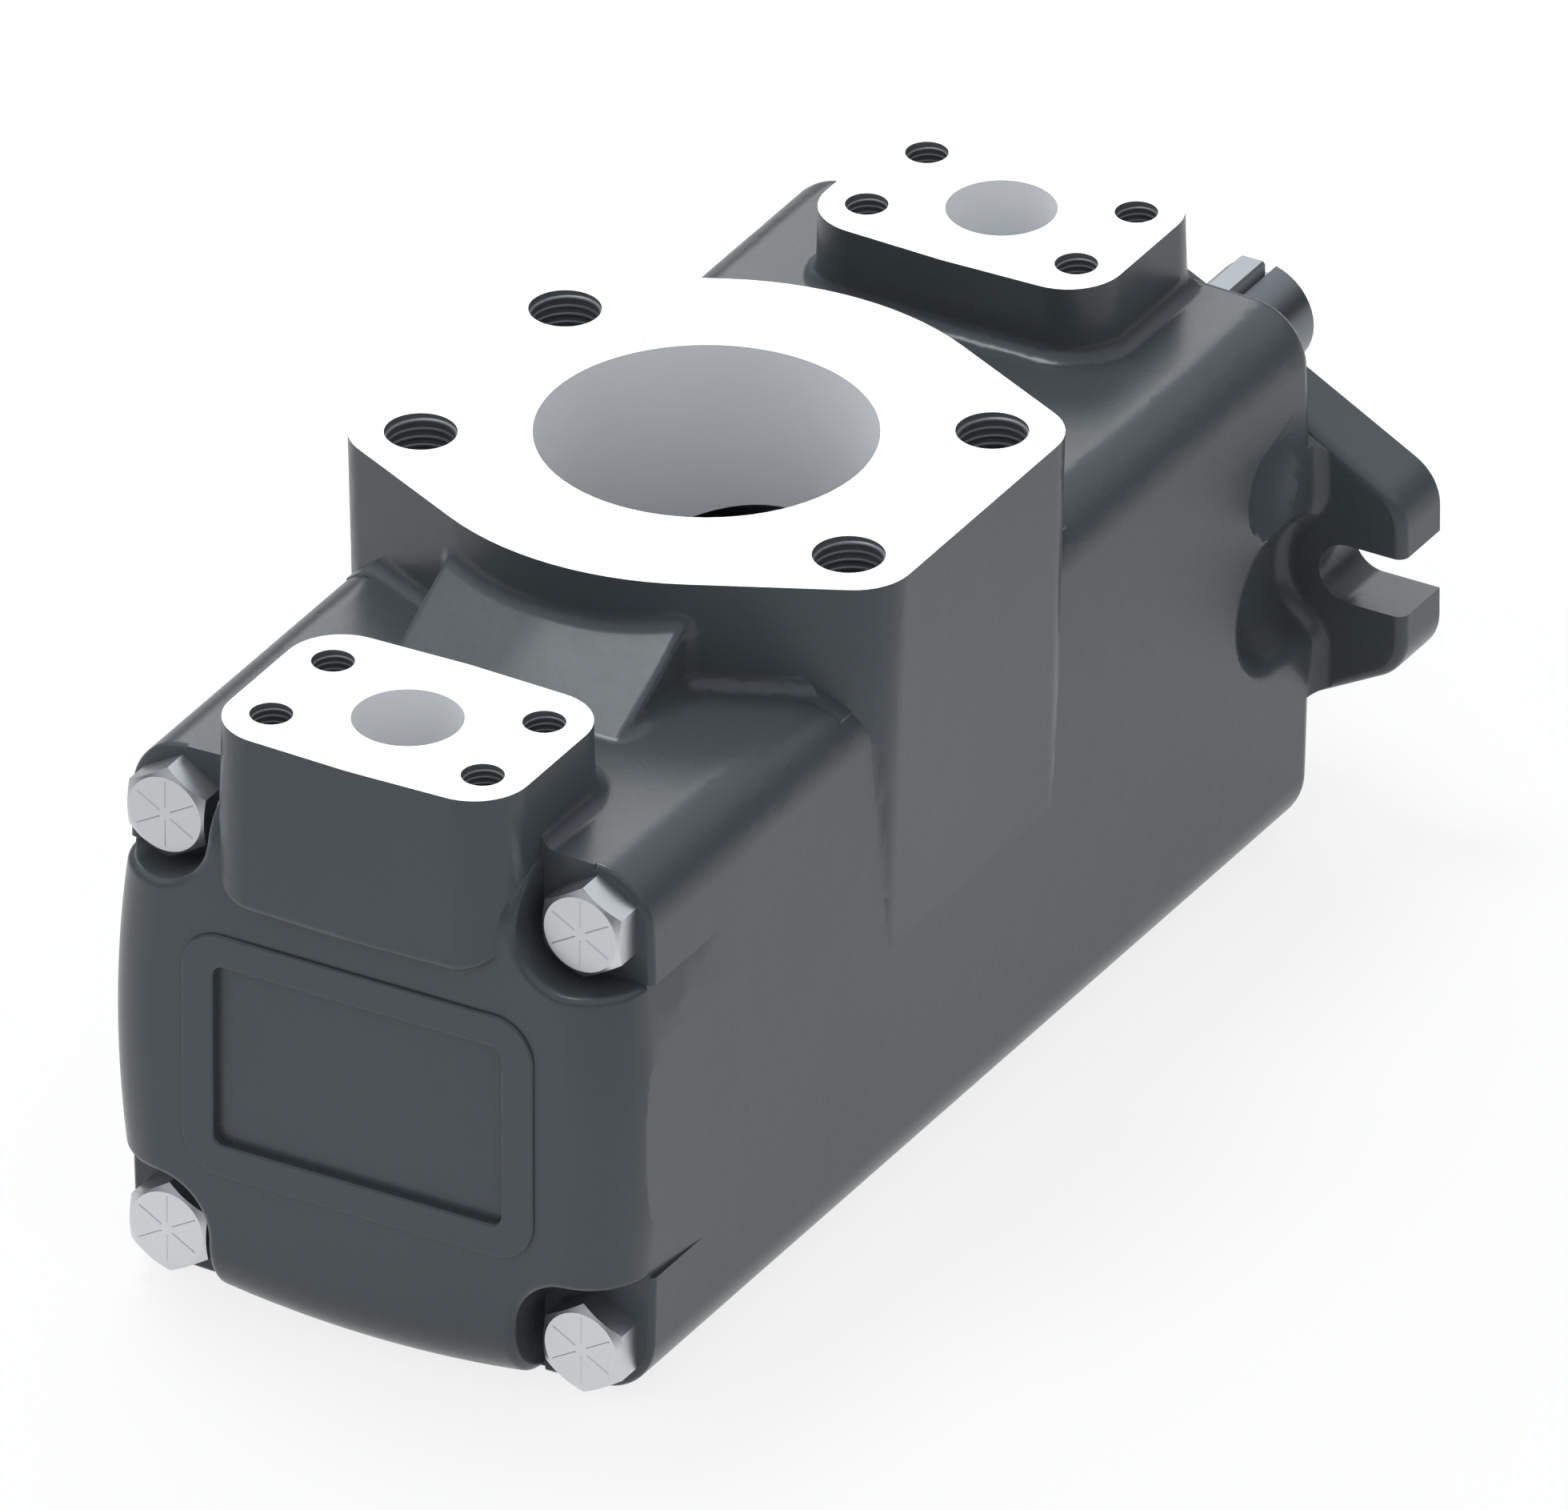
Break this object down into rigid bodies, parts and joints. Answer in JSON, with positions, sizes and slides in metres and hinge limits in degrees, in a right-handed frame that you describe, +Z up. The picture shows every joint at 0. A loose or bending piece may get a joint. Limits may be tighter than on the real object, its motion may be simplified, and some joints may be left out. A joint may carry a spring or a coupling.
{
  "type": "hydraulic vane pump",
  "caption": "Double vane pump with a slotted mounting flange, one large suction port and two pressure ports on top, and a keyed drive shaft.",
  "frame": {"origin": "centre of the pilot at the mounting flange face, on the shaft axis", "axes": "+Y along the shaft, out of the mounting face; +Z up, out of the ports; +X to the right seen from the end cap"},
  "size_m": [0.174, 0.399, 0.1556],
  "materials": {
    "castings": "satin",
    "cap_bolt_steel": "satin",
    "ground_steel": "ground",
    "bearing_steel": "polished",
    "machined_iron": "machined",
    "tool_steel": "ground",
    "black_screw_steel": "black oxide",
    "seal_rubber": "matt",
    "bronze": "machined"
  },
  "bodies": {
    "casing": {"main_housing": "castings", "end_cap": "castings", "cap_bolts": "cap_bolt_steel", "cap_seal_ring": "seal_rubber", "bearing_outer_ring": "bearing_steel", "bearing_retaining_ring": "black_screw_steel", "seal_case": "ground_steel", "seal_lip": "seal_rubber", "seal_spring": "ground_steel", "front_hub_seal": "seal_rubber", "rear_bush": "bronze", "front_plate_seal": "seal_rubber", "front_cam_ring": "tool_steel", "front_side_plate": "machined_iron", "front_dowels": "tool_steel", "front_cartridge_screws": "black_screw_steel", "front_port_plate": "machined_iron", "rear_plate_seal": "seal_rubber", "rear_cam_ring": "tool_steel", "rear_side_plate": "machined_iron", "rear_dowels": "tool_steel", "rear_cartridge_screws": "black_screw_steel", "rear_port_plate": "machined_iron"},
    "shaft": {"drive_shaft": "ground_steel", "shaft_key": "ground_steel", "bearing_inner_ring": "bearing_steel", "shaft_retaining_ring": "black_screw_steel", "front_rotor": "tool_steel", "rear_rotor": "tool_steel"},
    "ball_cage": {"bearing_balls": "bearing_steel", "bearing_cage": "bronze"},
    "front_vane_01": {"front_vane_01": "tool_steel"},
    "front_vane_02": {"front_vane_02": "tool_steel"},
    "front_vane_03": {"front_vane_03": "tool_steel"},
    "front_vane_04": {"front_vane_04": "tool_steel"},
    "front_vane_05": {"front_vane_05": "tool_steel"},
    "front_vane_06": {"front_vane_06": "tool_steel"},
    "front_vane_07": {"front_vane_07": "tool_steel"},
    "front_vane_08": {"front_vane_08": "tool_steel"},
    "front_vane_09": {"front_vane_09": "tool_steel"},
    "front_vane_10": {"front_vane_10": "tool_steel"},
    "front_vane_11": {"front_vane_11": "tool_steel"},
    "front_vane_12": {"front_vane_12": "tool_steel"},
    "rear_vane_01": {"rear_vane_01": "tool_steel"},
    "rear_vane_02": {"rear_vane_02": "tool_steel"},
    "rear_vane_03": {"rear_vane_03": "tool_steel"},
    "rear_vane_04": {"rear_vane_04": "tool_steel"},
    "rear_vane_05": {"rear_vane_05": "tool_steel"},
    "rear_vane_06": {"rear_vane_06": "tool_steel"},
    "rear_vane_07": {"rear_vane_07": "tool_steel"},
    "rear_vane_08": {"rear_vane_08": "tool_steel"},
    "rear_vane_09": {"rear_vane_09": "tool_steel"},
    "rear_vane_10": {"rear_vane_10": "tool_steel"},
    "rear_vane_11": {"rear_vane_11": "tool_steel"},
    "rear_vane_12": {"rear_vane_12": "tool_steel"}
  },
  "joints": [
    {"name": "shaft_spin", "type": "hinge", "parent": "casing", "child": "shaft", "pos_m": [0, 0, 0], "axis": [0, 1, 0], "continuous": true},
    {"name": "cage_spin", "type": "hinge", "parent": "casing", "child": "ball_cage", "pos_m": [0, -0.012, 0], "axis": [0, 1, 0], "continuous": true},
    {"name": "front_vane_01_slide", "type": "slide", "parent": "shaft", "child": "front_vane_01", "axis": [0.9659, 0, 0.2588], "range_m": [0, 0.00035]},
    {"name": "front_vane_02_slide", "type": "slide", "parent": "shaft", "child": "front_vane_02", "axis": [0.7071, 0, 0.7071], "range_m": [0, 0.00225]},
    {"name": "front_vane_03_slide", "type": "slide", "parent": "shaft", "child": "front_vane_03", "axis": [0.2588, 0, 0.9659], "range_m": [0, 0.00415]},
    {"name": "front_vane_04_slide", "type": "slide", "parent": "shaft", "child": "front_vane_04", "axis": [-0.2588, 0, 0.9659], "range_m": [0, 0.00415]},
    {"name": "front_vane_05_slide", "type": "slide", "parent": "shaft", "child": "front_vane_05", "axis": [-0.7071, 0, 0.7071], "range_m": [0, 0.00225]},
    {"name": "front_vane_06_slide", "type": "slide", "parent": "shaft", "child": "front_vane_06", "axis": [-0.9659, 0, 0.2588], "range_m": [0, 0.00035]},
    {"name": "front_vane_07_slide", "type": "slide", "parent": "shaft", "child": "front_vane_07", "axis": [-0.9659, 0, -0.2588], "range_m": [0, 0.00035]},
    {"name": "front_vane_08_slide", "type": "slide", "parent": "shaft", "child": "front_vane_08", "axis": [-0.7071, 0, -0.7071], "range_m": [0, 0.00225]},
    {"name": "front_vane_09_slide", "type": "slide", "parent": "shaft", "child": "front_vane_09", "axis": [-0.2588, 0, -0.9659], "range_m": [0, 0.00415]},
    {"name": "front_vane_10_slide", "type": "slide", "parent": "shaft", "child": "front_vane_10", "axis": [0.2588, 0, -0.9659], "range_m": [0, 0.00415]},
    {"name": "front_vane_11_slide", "type": "slide", "parent": "shaft", "child": "front_vane_11", "axis": [0.7071, 0, -0.7071], "range_m": [0, 0.00225]},
    {"name": "front_vane_12_slide", "type": "slide", "parent": "shaft", "child": "front_vane_12", "axis": [0.9659, 0, -0.2588], "range_m": [0, 0.00035]},
    {"name": "rear_vane_01_slide", "type": "slide", "parent": "shaft", "child": "rear_vane_01", "axis": [0.9659, 0, 0.2588], "range_m": [0, 0.00035]},
    {"name": "rear_vane_02_slide", "type": "slide", "parent": "shaft", "child": "rear_vane_02", "axis": [0.7071, 0, 0.7071], "range_m": [0, 0.00225]},
    {"name": "rear_vane_03_slide", "type": "slide", "parent": "shaft", "child": "rear_vane_03", "axis": [0.2588, 0, 0.9659], "range_m": [0, 0.00415]},
    {"name": "rear_vane_04_slide", "type": "slide", "parent": "shaft", "child": "rear_vane_04", "axis": [-0.2588, 0, 0.9659], "range_m": [0, 0.00415]},
    {"name": "rear_vane_05_slide", "type": "slide", "parent": "shaft", "child": "rear_vane_05", "axis": [-0.7071, 0, 0.7071], "range_m": [0, 0.00225]},
    {"name": "rear_vane_06_slide", "type": "slide", "parent": "shaft", "child": "rear_vane_06", "axis": [-0.9659, 0, 0.2588], "range_m": [0, 0.00035]},
    {"name": "rear_vane_07_slide", "type": "slide", "parent": "shaft", "child": "rear_vane_07", "axis": [-0.9659, 0, -0.2588], "range_m": [0, 0.00035]},
    {"name": "rear_vane_08_slide", "type": "slide", "parent": "shaft", "child": "rear_vane_08", "axis": [-0.7071, 0, -0.7071], "range_m": [0, 0.00225]},
    {"name": "rear_vane_09_slide", "type": "slide", "parent": "shaft", "child": "rear_vane_09", "axis": [-0.2588, 0, -0.9659], "range_m": [0, 0.00415]},
    {"name": "rear_vane_10_slide", "type": "slide", "parent": "shaft", "child": "rear_vane_10", "axis": [0.2588, 0, -0.9659], "range_m": [0, 0.00415]},
    {"name": "rear_vane_11_slide", "type": "slide", "parent": "shaft", "child": "rear_vane_11", "axis": [0.7071, 0, -0.7071], "range_m": [0, 0.00225]},
    {"name": "rear_vane_12_slide", "type": "slide", "parent": "shaft", "child": "rear_vane_12", "axis": [0.9659, 0, -0.2588], "range_m": [0, 0.00035]}
  ],
  "couplings": [
    {"joint": "cage_spin", "follows": "shaft_spin", "ratio": 0.39647}
  ]
}
